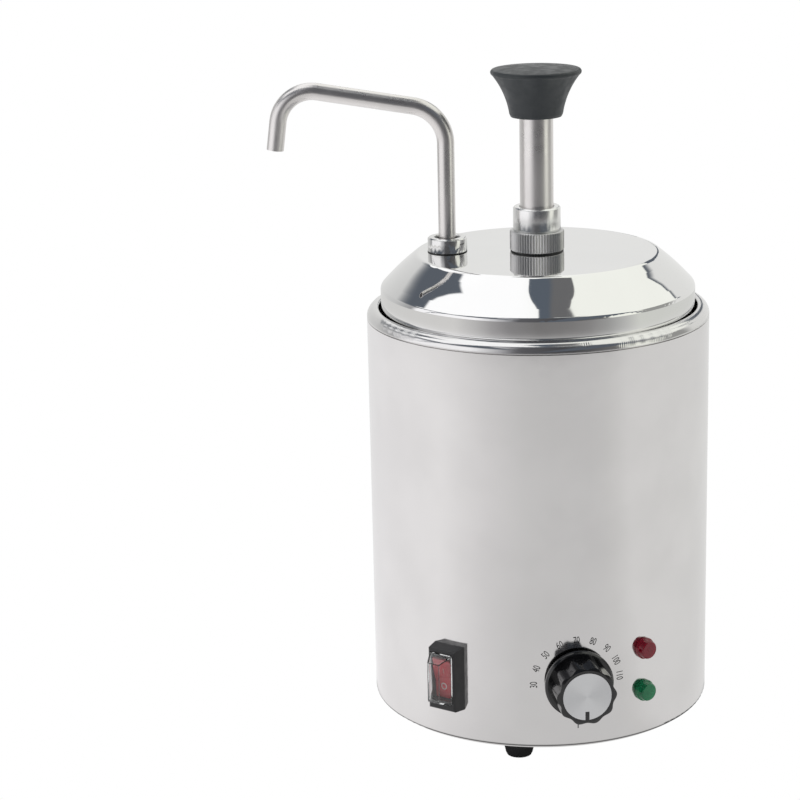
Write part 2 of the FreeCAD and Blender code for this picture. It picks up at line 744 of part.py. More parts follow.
def plunger_gland():
    outline = [
        (NECK_R + GAP, NUT_TOP_Z),
        (12.4, NUT_TOP_Z),
        (12.4, GLAND_TOP_Z - 0.8),
        (11.6, GLAND_TOP_Z),
        (PLUNGER_R + 0.35, GLAND_TOP_Z),
        (PLUNGER_R + 0.35, GLAND_TOP_Z - 2.0),
        (NECK_R + GAP, GLAND_TOP_Z - 2.0),
    ]
    return turned(outline)


def guide_bush():
    return ring(NECK_R, PLUNGER_R + GAP, NECK_TOP_Z + 0.1, GLAND_TOP_Z - 2.0)


def valve_body():
    """Lower end of the pump: inlet chamber, spring seat and the port for the delivery tube."""
    outline = [
        (0, VALVE_LOW_Z),
        (9.6, VALVE_LOW_Z),
        (CYLINDER_R, VALVE_LOW_Z + 4.0),
        (CYLINDER_R, CYLINDER_BOTTOM_Z - 0.3),
        (CYLINDER_R - 0.3, CYLINDER_BOTTOM_Z),
        (CYLINDER_BORE_R - GAP, CYLINDER_BOTTOM_Z),
        (CYLINDER_BORE_R - GAP, VALVE_SPIGOT_TOP_Z),
        (0, VALVE_SPIGOT_TOP_Z),
    ]
    body = turned(outline)
    body = body.cut(rod(CHAMBER_R, NOZZLE_TOP_Z, VALVE_SPIGOT_TOP_Z + 1))
    body = body.cut(rod(SOCKET_R, VALVE_LOW_Z - 1, NOZZLE_TOP_Z + 0.1))
    body = body.cut(Part.makeCylinder(TUBE_R + GAP, 6, V(-8.5, 0, PORT_Z), V(-1, 0, 0)))
    body = body.cut(Part.makeCylinder(TUBE_BORE_R, 8, V(-1, 0, PORT_Z), V(-1, 0, 0)))
    return body.cut(cross_pin(INLET_PIN_Z, 0, PIN_R + 0.03, 30.0))


def cross_pin(z, x, radius, length):
    return Part.makeCylinder(radius, length, V(x, -length / 2, z), V(0, 1, 0))


def inlet_nozzle():
    outline = [
        (5.5, NOSE_LOW_Z),
        (6.6, NOSE_LOW_Z),
        (7.8, NOSE_LOW_Z + 0.7),
        (NOSE_R, NOSE_LOW_Z + 2.2),
        (NOSE_R, VALVE_LOW_Z),
        (SOCKET_R - GAP, VALVE_LOW_Z),
        (SOCKET_R - GAP, NOZZLE_TOP_Z),
        (INLET_BORE_R + NOZZLE_TOP_Z - SEAT_EDGE_Z, NOZZLE_TOP_Z),
        (INLET_BORE_R, SEAT_EDGE_Z),
        (INLET_BORE_R, 86.0),
        (5.5, 84.0),
    ]
    return turned(outline)


def delivery_tube():
    corners = [V(-8.6, 0, PORT_Z), V(SPOUT_X, 0, PORT_Z), V(SPOUT_X, 0, LID_TOP_Z + 3.9)]
    pipe = tube(corners, [20.0], TUBE_R, TUBE_BORE_R)
    return pipe.cut(cross_pin(OUTLET_PIN_Z, SPOUT_X, PIN_R + 0.03, 20.0))


def outlet_seat():
    return ring(TUBE_BORE_R - GAP, OUTLET_BORE_R, OUTLET_SEAT_LOW_Z, OUTLET_SEAT_TOP_Z, SPOUT_X)


def valve_pins():
    """Cross pins that stop the two valve balls."""
    return group([cross_pin(INLET_PIN_Z, 0, PIN_R, 23.4), cross_pin(OUTLET_PIN_Z, SPOUT_X, PIN_R, 8.8)])


SPOUT_BEND_R = 20.0
TIP_BEND_R = 18.0
ARM_RISE_DEG = 9.2
TIP_OUT_DEG = 7.5
ARM_CORNER_Z = 326.4
TIP_CORNER_X = -131.6
TIP_LOW_Z = 307.0


def spout_corners():
    arm_rise = math.tan(math.radians(ARM_RISE_DEG))
    tip_corner_z = ARM_CORNER_Z + (SPOUT_X - TIP_CORNER_X) * arm_rise
    tip_drop = tip_corner_z - TIP_LOW_Z
    tip_x = TIP_CORNER_X - tip_drop * math.tan(math.radians(TIP_OUT_DEG))
    return [
        V(SPOUT_X, 0, LID_TOP_Z + 4.0),
        V(SPOUT_X, 0, ARM_CORNER_Z),
        V(TIP_CORNER_X, 0, tip_corner_z),
        V(tip_x, 0, TIP_LOW_Z),
    ]


def spout_tube():
    return tube(spout_corners(), [SPOUT_BEND_R, TIP_BEND_R], TUBE_R, TUBE_BORE_R)


def spout_collar():
    outline = [
        (TUBE_R + GAP, COLLAR_LOW_Z),
        (COLLAR_R, COLLAR_LOW_Z),
        (COLLAR_R, COLLAR_TOP_Z - 0.7),
        (COLLAR_R - 0.7, COLLAR_TOP_Z),
        (6.9, COLLAR_TOP_Z),
        (6.9, COLLAR_TOP_Z - 2.5),
        (TUBE_R + GAP, COLLAR_TOP_Z - 2.5),
    ]
    return turned(outline).translated(V(SPOUT_X, 0, 0))


def spout_seal():
    return o_ring(5.7, 0.95, COLLAR_TOP_Z - 1.5).translated(V(SPOUT_X, 0, 0))


def collar_washer():
    return ring(COLLAR_R + 0.1, TUBE_R + 0.1, LID_TOP_Z, COLLAR_LOW_Z, SPOUT_X)


# ---- pump: moving pieces ------------------------------------------------------------------------
PISTON_LOW_Z = 232.6
PISTON_TOP_Z = SHOULDER_LOW_Z - 0.4
PISTON_R = CYLINDER_BORE_R - 0.12
SEAL_Z = (237.0, 244.0)
KNOB_LOW_Z = 323.0
KNOB_EDGE_R = 22.5
KNOB_EDGE_Z = 347.4
KNOB_TOP_Z = 348.9
PLUNGER_TOP_Z = 337.2
SPRING_WIRE_R = 0.75
SPRING_MEAN_R = 8.6
SPRING_TURNS = 12


def piston():
    body = rod(PISTON_R, PISTON_LOW_Z, PISTON_TOP_Z)
    spigot = rod(PLUNGER_BORE_R - GAP, PISTON_TOP_Z, PISTON_TOP_Z + 10.0)
    part = body.fuse(spigot).removeSplitter()
    for z in SEAL_Z:
        part = part.cut(ring(12.0, 9.3, z - 1.0, z + 1.0))
    return part


def piston_seals():
    return group([o_ring(10.15, 0.79, z) for z in SEAL_Z])


def plunger_tube():
    return ring(PLUNGER_R, PLUNGER_BORE_R, PISTON_TOP_Z, PLUNGER_TOP_Z)


def plunger_plug():
    """Plug brazed into the tube's top, with the stud that the knob screws on."""
    plug = rod(PLUNGER_BORE_R - GAP, PLUNGER_TOP_Z - 16.0, PLUNGER_TOP_Z)
    return plug.fuse(rod(4.0, PLUNGER_TOP_Z, PLUNGER_TOP_Z + 7.0)).removeSplitter()


def pump_knob():
    """Flared palm knob with a low dome."""
    edge = V(KNOB_EDGE_R, 0, KNOB_EDGE_Z)
    top = V(0, 0, KNOB_TOP_Z)
    flare = Part.Arc(V(13.9, 0, 324.4), V(16.6, 0, 334.2), V(22.7, 0, 344.6)).toShape()
    rim = Part.Arc(V(22.7, 0, 344.6), V(23.5, 0, 346.2), edge).toShape()
    dome_rise = KNOB_TOP_Z - KNOB_EDGE_Z
    dome_r = (KNOB_EDGE_R**2 + dome_rise**2) / (2 * dome_rise)
    middle_r = KNOB_EDGE_R / 2
    dome_middle = V(middle_r, 0, KNOB_TOP_Z - dome_r + math.sqrt(dome_r**2 - middle_r**2))
    dome = Part.Arc(edge, dome_middle, top).toShape()
    corners = [
        top,
        V(0, 0, PLUNGER_TOP_Z + 8.0),
        V(4.0 + GAP, 0, PLUNGER_TOP_Z + 8.0),
        V(4.0 + GAP, 0, PLUNGER_TOP_Z + 0.2),
        V(PLUNGER_R + GAP, 0, PLUNGER_TOP_Z + 0.2),
        V(PLUNGER_R + GAP, 0, KNOB_LOW_Z + 4.0),
        V(10.6, 0, KNOB_LOW_Z + 4.0),
        V(10.6, 0, KNOB_LOW_Z),
        V(13.2, 0, KNOB_LOW_Z),
        V(13.9, 0, 324.4),
    ]
    lines = [Part.LineSegment(a, b).toShape() for a, b in zip(corners, corners[1:])]
    outline = Part.Wire(Part.__sortEdges__(lines + [flare, rim, dome]))
    return Part.Face(outline).revolve(V(0, 0, 0), UP, 360)


def return_spring():
    low = VALVE_SPIGOT_TOP_Z + SPRING_WIRE_R + 0.1
    high = PISTON_LOW_Z - SPRING_WIRE_R - 0.1
    helix = Part.makeHelix((high - low) / SPRING_TURNS, high - low, SPRING_MEAN_R)
    section = Part.Circle(V(SPRING_MEAN_R, 0, 0), V(0, 1, 0), SPRING_WIRE_R).toShape()
    spring = Part.Wire(helix).makePipeShell([Part.Wire(section)], True, True)
    return spring.translated(V(0, 0, low))


# ---- all nodes ----------------------------------------------------------------------------------
def nodes():
    parts = {
        "outer_shell": outer_shell(),
        "water_well": water_well(),
        "base_plate": base_plate(),
        "rubber_feet": group(at_feet(foot())),
        "foot_screws": group(at_feet(foot_screw())),
        "foot_nuts": group(at_feet(foot_nut())),
        "heat_spreader": heat_spreader(),
        "heating_element": heating_element(),
        "heater_clips": group(element_clips() + [bulb_clip()]),
        "thermal_cutout": thermal_cutout(),
        "cutout_screws": cutout_screws(),
        "thermostat_plate": on_panel(thermostat_plate(), DIAL_DEG, DIAL_Z),
        "thermostat_body": on_panel(thermostat_body(), DIAL_DEG, DIAL_Z),
        "thermostat_screws": on_panel(thermostat_screws(), DIAL_DEG, DIAL_Z),
        "thermostat_shaft": on_panel(thermostat_shaft(), DIAL_DEG, DIAL_Z),
        "dial_knob": on_panel(dial_knob(), DIAL_DEG, DIAL_Z),
        "knob_cap": on_panel(knob_cap(), DIAL_DEG, DIAL_Z),
        "sensor_bulb": sensor_bulb(),
        "capillary_tube": capillary(),
        "switch_frame": on_panel(switch_frame(), SWITCH_DEG, SWITCH_Z),
        "switch_cover": on_panel(switch_cover(), SWITCH_DEG, SWITCH_Z),
        "spade_tabs": group(element_tabs() + cutout_tabs() + thermostat_tabs() + switch_tabs() + lamp_tabs()),
        "switch_rocker": on_panel(switch_rocker(), SWITCH_DEG, SWITCH_Z),
        "lamp_nuts": group([on_panel(lamp_nut(), LAMP_DEG, z) for z in (RED_LAMP_Z, GREEN_LAMP_Z)]),
        "lamp_bodies": group([on_panel(lamp_body(), LAMP_DEG, z) for z in (RED_LAMP_Z, GREEN_LAMP_Z)]),
        "cable_gland": on_panel(cable_gland(), GLAND_DEG, GLAND_Z),
        "gland_cap_nut": on_panel(gland_cap(), GLAND_DEG, GLAND_Z),
        "gland_seal": on_panel(gland_seal(), GLAND_DEG, GLAND_Z),
        "gland_lock_nut": on_panel(gland_nut(), GLAND_DEG, GLAND_Z),
        "terminal_block": terminal_block(),
        "terminal_screws": terminal_screws(),
        "earth_stud": earth_stud(),
        "live_wires": group(live_wires()),
        "neutral_wire": neutral_wire(),
        "earth_wire": earth_wire(),
        "sauce_pot": sauce_pot(),
        "lid": lid(),
        "pump_cylinder": pump_cylinder(),
        "pump_seals": group([pump_gasket(), nut_washer(), spout_seal(), collar_washer()]),
        "knurled_nut": knurled_nut(),
        "plunger_gland": plunger_gland(),
        "guide_bush": guide_bush(),
        "valve_body": valve_body(),
        "inlet_nozzle": inlet_nozzle(),
        "delivery_tube": delivery_tube(),
        "outlet_seat": outlet_seat(),
        "valve_pins": valve_pins(),
        "spout_tube": spout_tube(),
        "spout_collar": spout_collar(),
        "piston": piston(),
        "piston_seals": piston_seals(),
        "plunger_tube": plunger_tube(),
        "plunger_plug": plunger_plug(),
        "pump_knob": pump_knob(),
        "return_spring": return_spring(),
        "inlet_ball": Part.makeSphere(INLET_BALL_R, V(0, 0, INLET_BALL_Z)),
        "outlet_ball": Part.makeSphere(OUTLET_BALL_R, V(SPOUT_X, 0, OUTLET_BALL_Z)),
    }
    for name, lamp_z in (("red", RED_LAMP_Z), ("green", GREEN_LAMP_Z)):
        parts[name + "_lamp_lens"] = on_panel(lamp_lens(), LAMP_DEG, lamp_z)
    return parts


def main():
    os.makedirs("parts", exist_ok=True)
    for name, shape in nodes().items():
        solids = shape.Solids
        closed = all(solid.isClosed() and solid.isValid() for solid in solids)
        volume = sum(solid.Volume for solid in solids) / 1000
        state = "" if closed else "NOT CLOSED"
        print(f"{name:22} solids {len(solids):2}  volume {volume:9.3f} cm3  {state}")
        shape.exportStep(f"parts/{name}.step")


main()
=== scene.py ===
import json
import math
import bpy
from mathutils import Matrix, Vector


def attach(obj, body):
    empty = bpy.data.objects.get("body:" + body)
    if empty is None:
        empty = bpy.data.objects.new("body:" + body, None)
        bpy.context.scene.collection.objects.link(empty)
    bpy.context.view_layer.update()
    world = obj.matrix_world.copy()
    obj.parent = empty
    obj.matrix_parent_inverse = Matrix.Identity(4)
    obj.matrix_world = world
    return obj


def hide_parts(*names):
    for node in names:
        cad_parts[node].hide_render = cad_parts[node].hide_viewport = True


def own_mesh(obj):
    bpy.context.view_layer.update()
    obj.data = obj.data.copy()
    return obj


# Looks for the heated sauce dispenser. Metres, in the frame of the CAD model: +Z up, controls towards -Y,
# spout towards -X. A value is in millimetres where its name ends in _MM and where mm() takes it.

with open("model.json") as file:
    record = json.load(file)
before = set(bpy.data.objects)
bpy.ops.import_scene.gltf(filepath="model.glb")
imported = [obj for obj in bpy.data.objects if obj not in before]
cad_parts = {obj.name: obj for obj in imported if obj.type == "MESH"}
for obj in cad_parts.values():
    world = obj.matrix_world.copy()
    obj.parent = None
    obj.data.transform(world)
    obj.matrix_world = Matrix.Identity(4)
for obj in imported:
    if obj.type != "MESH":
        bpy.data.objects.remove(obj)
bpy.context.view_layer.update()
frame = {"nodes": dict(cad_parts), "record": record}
SCENE = bpy.context.scene


def mm(value):
    return value * 0.001


# ---- places on the wall --------------------------------------------------------------------------
BODY_R_MM = 90.0
DIAL_DEG = 12.5
DIAL_Z_MM = 45.3
SWITCH_DEG = -31.2
SWITCH_Z_MM = 44.5


def wall_place(around_deg, height_mm):
    """A frame on the body's axis whose +X is to the right, +Y up and +Z out through the wall."""
    angle = math.radians(around_deg)
    return Matrix((
        (math.cos(angle), 0, math.sin(angle), 0),
        (math.sin(angle), 0, -math.cos(angle), 0),
        (0, 1, 0, mm(height_mm)),
        (0, 0, 0, 1),
    ))


DIAL_PLACE = wall_place(DIAL_DEG, DIAL_Z_MM)
SWITCH_PLACE = wall_place(SWITCH_DEG, SWITCH_Z_MM)


# ---- node helpers -------------------------------------------------------------------------------
class Nodes:
    """A small builder for shader trees."""

    def __init__(self, tree):
        self.tree = tree
        tree.nodes.clear()

    def add(self, kind, **settings):
        node = self.tree.nodes.new(kind)
        for name, value in settings.items():
            setattr(node, name, value)
        return node

    def link(self, source, target):
        self.tree.links.new(source, target)

    def feed(self, value, target):
        """Link a socket, or set a plain number or colour."""
        if isinstance(value, bpy.types.NodeSocket):
            self.link(value, target)
        else:
            target.default_value = value

    def math(self, operation, first, second=0.0):
        node = self.add("ShaderNodeMath", operation=operation)
        self.feed(first, node.inputs[0])
        self.feed(second, node.inputs[1])
        return node.outputs[0]

    def both(self, first, second):
        """1 where both masks are."""
        return self.math("MULTIPLY", first, second)

    def either(self, first, second):
        """1 where either mask is."""
        return self.math("MAXIMUM", first, second)

    def remap(self, value, low, high, to_low=0.0, to_high=1.0):
        node = self.add("ShaderNodeMapRange", interpolation_type="SMOOTHSTEP")
        self.feed(value, node.inputs["Value"])
        node.inputs["From Min"].default_value = low
        node.inputs["From Max"].default_value = high
        node.inputs["To Min"].default_value = to_low
        node.inputs["To Max"].default_value = to_high
        return node.outputs["Result"]

    def falling(self, value, low, high):
        """1 below low, falling to 0 at high."""
        return self.remap(value, low, high, 1.0, 0.0)

    def mix(self, factor, first, second):
        node = self.add("ShaderNodeMix", data_type="RGBA")
        self.feed(factor, node.inputs["Factor"])
        self.feed(first, node.inputs["A"])
        self.feed(second, node.inputs["B"])
        return node.outputs["Result"]

    def noise(self, scale, stretch=(1, 1, 1), detail=2.0, roughness=0.5):
        coords = self.add("ShaderNodeTexCoord")
        mapping = self.add("ShaderNodeMapping")
        mapping.inputs["Scale"].default_value = stretch
        self.link(coords.outputs["Object"], mapping.inputs["Vector"])
        node = self.add("ShaderNodeTexNoise")
        node.inputs["Scale"].default_value = scale
        node.inputs["Detail"].default_value = detail
        node.inputs["Roughness"].default_value = roughness
        self.link(mapping.outputs["Vector"], node.inputs["Vector"])
        return node.outputs["Fac"]

    def bump(self, height, distance):
        node = self.add("ShaderNodeBump")
        node.inputs["Distance"].default_value = distance
        self.link(height, node.inputs["Height"])
        return node.outputs["Normal"]


def surface(name, colour, metallic, roughness, **sockets):
    """A material with one Principled shader. Returns the material, its builder and the shader."""
    material = bpy.data.materials.new(name)
    material.use_nodes = True
    nodes = Nodes(material.node_tree)
    shader = nodes.add("ShaderNodeBsdfPrincipled")
    output = nodes.add("ShaderNodeOutputMaterial")
    nodes.link(shader.outputs["BSDF"], output.inputs["Surface"])
    shader.inputs["Base Color"].default_value = (*colour, 1.0)
    shader.inputs["Metallic"].default_value = metallic
    shader.inputs["Roughness"].default_value = roughness
    for socket, value in sockets.items():
        shader.inputs[socket.replace("_", " ")].default_value = value
    return material, nodes, shader


# Noise seldom leaves the middle of its range, so this part of it is stretched to the whole range.
NOISE_LOW = 0.3
NOISE_HIGH = 0.7


def vary_colour(nodes, shader, colour, cloud, scale, detail):
    """Cloudy patches in which the colour is darker by up to the share cloud."""
    clouds = nodes.remap(nodes.noise(scale, detail=detail), NOISE_LOW, NOISE_HIGH)
    darkest = [channel * (1.0 - cloud) for channel in colour]
    nodes.link(nodes.mix(clouds, (*darkest, 1), (*colour, 1)), shader.inputs["Base Color"])


def vary_gloss(nodes, shader, roughness, spread, smears):
    """Smears in which the surface is glossier or duller by up to the share spread."""
    gloss = nodes.remap(smears, NOISE_LOW, NOISE_HIGH, roughness * (1 - spread), roughness * (1 + spread))
    nodes.link(gloss, shader.inputs["Roughness"])


# ---- materials ----------------------------------------------------------------------------------
def metal(name, colour, roughness, grain=(1, 1, 1), grain_scale=3000.0, grain_depth=0.004, cloud=0.06):
    """Metal with cloudy colour and gloss, and a fine grain stretched along the brushing.
    grain_depth is in millimetres here and for plastic."""
    material, nodes, shader = surface(name, colour, 1.0, roughness)
    vary_colour(nodes, shader, colour, cloud, 28.0, 4.0)
    vary_gloss(nodes, shader, roughness, 0.15, nodes.noise(55.0, detail=5.0, roughness=0.6))
    lines = nodes.noise(grain_scale, grain, detail=3.0)
    nodes.link(nodes.bump(lines, mm(grain_depth)), shader.inputs["Normal"])
    return material


def plastic(name, colour, roughness, grain_depth=0.01, grain_scale=1800.0, cloud=0.15, **sockets):
    """Moulded plastic with a fine skin texture and slight colour and gloss changes."""
    material, nodes, shader = surface(name, colour, 0.0, roughness, **sockets)
    vary_colour(nodes, shader, colour, cloud, 90.0, 3.0)
    vary_gloss(nodes, shader, roughness, 0.2, nodes.noise(240.0, detail=3.0))
    skin = nodes.noise(grain_scale)
    nodes.link(nodes.bump(skin, mm(grain_depth)), shader.inputs["Normal"])
    return material


def turned_metal(name, colour, roughness):
    """Metal with the fine rings that a lathe leaves."""
    return metal(name, colour, roughness, (0.02, 0.02, 1), 2200.0, 0.0012)


def clear_plastic():
    """Clear enough to read the switch through."""
    colour = (0.96, 0.97, 0.97)
    clear = {"Transmission_Weight": 1.0, "IOR": 1.49}
    return plastic("clear_plastic", colour, 0.05, grain_depth=0.0005, cloud=0.02, **clear)


def lamp_lens(name, colour):
    """Tinted plastic that lets part of the light through."""
    return plastic(name, colour, 0.08, grain_depth=0.001, Transmission_Weight=0.4)


def wire_sleeve(name, colour):
    return plastic(name, colour, 0.34)


def spun_aluminium():
    """Turned end cap: the crossed sheen of fine rings round the dial's axis."""
    material, nodes, shader = surface("cap_aluminium", (0.74, 0.75, 0.76), 1.0, 0.30, Anisotropic=0.8)
    coords = nodes.add("ShaderNodeTexCoord")
    spoke = nodes.add("ShaderNodeVectorMath", operation="SUBTRACT")
    spoke.inputs[1].default_value = DIAL_PLACE.translation
    along_ring = nodes.add("ShaderNodeVectorMath", operation="CROSS_PRODUCT")
    along_ring.inputs[1].default_value = DIAL_PLACE.col[2].xyz
    turned = nodes.add("ShaderNodeVectorTransform", vector_type="VECTOR")
    turned.convert_from = "OBJECT"
    turned.convert_to = "WORLD"
    nodes.link(coords.outputs["Object"], spoke.inputs[0])
    nodes.link(spoke.outputs[0], along_ring.inputs[0])
    nodes.link(along_ring.outputs[0], turned.inputs["Vector"])
    nodes.link(turned.outputs["Vector"], shader.inputs["Tangent"])
    return material


MATERIALS = {
    "satin_steel": metal("satin_steel", (0.80, 0.79, 0.785), 0.095, grain_depth=0.0008, cloud=0.05),
    "polished_steel": metal("polished_steel", (0.86, 0.86, 0.855), 0.04, grain_depth=0.0002, cloud=0.02),
    "tube_steel": metal("tube_steel", (0.80, 0.78, 0.765), 0.30, (1, 1, 0.05), 2600.0, 0.002),
    "turned_steel": turned_metal("turned_steel", (0.80, 0.80, 0.79), 0.14),
    "zinc_steel": metal("zinc_steel", (0.62, 0.62, 0.60), 0.32),
    "element_steel": metal("element_steel", (0.30, 0.27, 0.24), 0.45, cloud=0.3),
    "spread_aluminium": metal("spread_aluminium", (0.72, 0.72, 0.73), 0.42, grain_depth=0.02),
    "cap_aluminium": spun_aluminium(),
    "brass": metal("brass", (0.78, 0.60, 0.28), 0.28),
    "copper": metal("copper", (0.75, 0.42, 0.27), 0.27),
    "knob_grey": plastic("knob_grey", (0.042, 0.049, 0.054), 0.46, cloud=0.05),
    "black_plastic": plastic("black_plastic", (0.018, 0.018, 0.020), 0.36),
    "dial_black": plastic("dial_black", (0.008, 0.008, 0.009), 0.16, grain_depth=0.003, Coat_Weight=0.4),
    "rocker_red": plastic("rocker_red", (0.70, 0.03, 0.05), 0.22, grain_depth=0.002),
    "clear_plastic": clear_plastic(),
    "lens_red": lamp_lens("lens_red", (0.42, 0.01, 0.035)),
    "lens_green": lamp_lens("lens_green", (0.012, 0.36, 0.14)),
    "rubber": plastic("rubber", (0.022, 0.022, 0.023), 0.62, grain_depth=0.03, grain_scale=900.0),
    "seal_rubber": plastic("seal_rubber", (0.020, 0.020, 0.020), 0.5),
    "white_plastic": plastic("white_plastic", (0.80, 0.80, 0.78), 0.38),
    "cream_plastic": plastic("cream_plastic", (0.74, 0.68, 0.56), 0.45),
    "wire_brown": wire_sleeve("wire_brown", (0.16, 0.06, 0.025)),
    "wire_blue": wire_sleeve("wire_blue", (0.02, 0.10, 0.45)),
    "wire_green": wire_sleeve("wire_green", (0.10, 0.40, 0.05)),
}

# Nodes that share a record slot with smoother neighbours but have a duller finish.
NODE_MATERIALS = {
    "plunger_gland": turned_metal("gland_steel", (0.88, 0.88, 0.87), 0.23),
    "knurled_nut": metal("knurled_steel", (0.66, 0.66, 0.655), 0.42, grain_depth=0.004),
}


def finish_cad_nodes():
    """Give every CAD node the detailed material of its slot."""
    for node in frame["record"]["subparts"]:
        name = node["node"]
        material = NODE_MATERIALS.get(name, MATERIALS[node["material_slot"]])
        for material_slot in frame["nodes"][name].material_slots:
            material_slot.material = material


# ---- new pieces ---------------------------------------------------------------------------------
def add_piece(name, mesh, material, body, smooth_deg=30.0):
    """A visible piece that rides on a body. Edges sharper than smooth_deg stay sharp."""
    mesh.materials.clear()
    mesh.materials.append(material)
    mesh.shade_smooth()
    mesh.set_sharp_from_angle(angle=math.radians(smooth_deg))
    piece = bpy.data.objects.new(name, mesh)
    SCENE.collection.objects.link(piece)
    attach(piece, body)
    return piece


def mesh_from(name, points, faces):
    mesh = bpy.data.meshes.new(name)
    mesh.from_pydata(points, [], faces)
    mesh.update()
    return mesh


def curve_as_mesh(curve):
    """A mesh copy of a text or curve, which leaves no object behind."""
    maker = bpy.data.objects.new(curve.name, curve)
    SCENE.collection.objects.link(maker)
    ready = maker.evaluated_get(bpy.context.evaluated_depsgraph_get())
    mesh = bpy.data.meshes.new_from_object(ready)
    bpy.data.objects.remove(maker)
    return mesh


def rounded_path(start, bends, end):
    """(point, left normal) pairs along straight runs joined by arcs. A bend is (corner, radius, steps)."""
    corners = [Vector(start)] + [Vector(corner) for corner, _, _ in bends] + [Vector(end)]
    directions = [(after - before).normalized() for before, after in zip(corners, corners[1:])]
    path = [(corners[0], directions[0].orthogonal())]
    for (_, radius, steps), corner, arriving, leaving in zip(bends, corners[1:], directions, directions[1:]):
        turn = math.atan2(arriving.x * leaving.y - arriving.y * leaving.x, arriving.dot(leaving))
        start_of_arc = corner - arriving * (radius * math.tan(abs(turn) / 2))
        side = math.copysign(1.0, turn)
        centre = start_of_arc + arriving.orthogonal() * (side * radius)
        for step in range(steps + 1):
            normal = arriving.orthogonal()
            normal.rotate(Matrix.Rotation(turn * step / steps, 2))
            path.append((centre - normal * (side * radius), normal))
    path.append((corners[-1], directions[-1].orthogonal()))
    return path


# ---- rim and water well -------------------------------------------------------------------------
SHEET_MM = 1.0
RIM_TOP_MM = 224.3
RIM_LIP_MM = 1.0
RIM_INNER_R_MM = 83.7
LEDGE_MM = 210.0
WELL_R_MM = 77.5
WELL_FLOOR_MM = 67.0
WELL_END_R_MM = 0.5
SHOULDER_R_MM = 5.0
SHOULDER_STEPS = 14
SHOULDER_FOOT_MM = RIM_TOP_MM - SHOULDER_R_MM - RIM_LIP_MM
RIM_BENDS_MM = [
    ((BODY_R_MM, RIM_TOP_MM), SHOULDER_R_MM, SHOULDER_STEPS),
    ((RIM_INNER_R_MM, RIM_TOP_MM), 1.25, 8),
    ((RIM_INNER_R_MM, LEDGE_MM), 1.0, 4),
    ((WELL_R_MM, LEDGE_MM), 1.5, 6),
    ((WELL_R_MM, WELL_FLOOR_MM), 6.0, 8),
]
RIM_STEEL = metal("rim_steel", (0.80, 0.795, 0.79), 0.13, grain_depth=0.0006, cloud=0.04)
SEAM_MM = 0.55
SEAM_POINTS = 2
RIPPLE_ARCS = [(-67.0, -41.0), (13.5, 18.0), (26.0, 52.0)]
RIPPLE_PITCH_DEG = 0.76
RIPPLE_DEPTH_MM = 0.17
RIPPLE_FADE_DEG = 4.0
FINE_STEP_DEG = 0.125
COARSE_STEP_DEG = 1.5


def rim_angles():
    """Degrees round the rim, close together where the weld's ripples are."""
    angles = []
    angle = -180.0
    while angle < 180.0:
        angles.append(angle)
        rippled = any(low - 1.0 <= angle <= high + 1.0 for low, high in RIPPLE_ARCS)
        angle += FINE_STEP_DEG if rippled else COARSE_STEP_DEG
    return angles


def ripple_depth(angle, share):
    """How far the weld's crescents cut into the shoulder: angle in degrees, share of the way over it."""
    for low, high in RIPPLE_ARCS:
        if low <= angle <= high:
            phase = (angle + 0.5 * (share - 0.5) ** 2) / RIPPLE_PITCH_DEG
            fade = min(1.0, (angle - low) / RIPPLE_FADE_DEG, (high - angle) / RIPPLE_FADE_DEG)
            uneven = 0.7 + 0.3 * math.sin(5.1 * math.floor(phase))
            across = math.sin(math.pi * share) ** 0.6
            return mm(RIPPLE_DEPTH_MM) * fade * uneven * across * math.sin(math.pi * (phase % 1.0)) ** 2
    return 0.0


def rim_section():
    """(point, normal) pairs round the sheet's closed section. Along its outer side they point into it."""
    start = (mm(BODY_R_MM), mm(SHOULDER_FOOT_MM))
    bends = [((mm(r), mm(z)), mm(radius), steps) for (r, z), radius, steps in RIM_BENDS_MM]
    path = rounded_path(start, bends, (mm(WELL_END_R_MM), mm(WELL_FLOOR_MM)))
    first_point, first_normal = path[0]
    path[0] = (first_point + Vector((0, mm(SEAM_MM))), first_normal)
    path.insert(0, (first_point - Vector((mm(SEAM_MM), 0)), Vector((-0.7, 0.7))))
    under = [(point + normal * mm(SHEET_MM), normal) for point, normal in reversed(path)]
    return path + under


def make_rim():
    """The water well with its rim: a seam under the shoulder and the ripples of its ground weld."""
    section = rim_section()
    angles = rim_angles()
    points = []
    for angle in angles:
        turn = math.radians(angle)
        for index, (point, normal) in enumerate(section):
            share = (index - SEAM_POINTS) / SHOULDER_STEPS
            depth = ripple_depth(angle, share) if 0 < share < 1 else 0.0
            radius = point.x + normal.x * depth
            points.append((radius * math.sin(turn), -radius * math.cos(turn), point.y + normal.y * depth))
    count = len(section)
    faces = []
    for row in range(len(angles)):
        here = row * count
        there = (row + 1) % len(angles) * count
        for index in range(count):
            after = (index + 1) % count
            faces.append((here + index, there + index, there + after, here + after))
    mesh = mesh_from("rim_and_well", points, faces)
    rim = add_piece("rim_and_well", mesh, RIM_STEEL, "housing")
    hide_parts("water_well")


# ---- dial scale ---------------------------------------------------------------------------------
INK = plastic("ink", (0.012, 0.012, 0.014), 0.5, grain_depth=0.0)
SCALE_R_MM = 22.7
SCALE_START_DEG = -92.0
SCALE_STEP_DEG = 22.5
SCALE_NUMBERS = range(30, 120, 10)
DIGIT_HEIGHT_MM = 3.8
DIGIT_NARROWING = 0.66
DIGIT_SHARE_OF_SIZE = 0.70
OFF_TICK_R_MM = 24.2
OFF_TICK_WIDTH_MM = 0.5
OFF_TICK_LENGTH_MM = 2.4
PRINT_LIFT_MM = 0.03


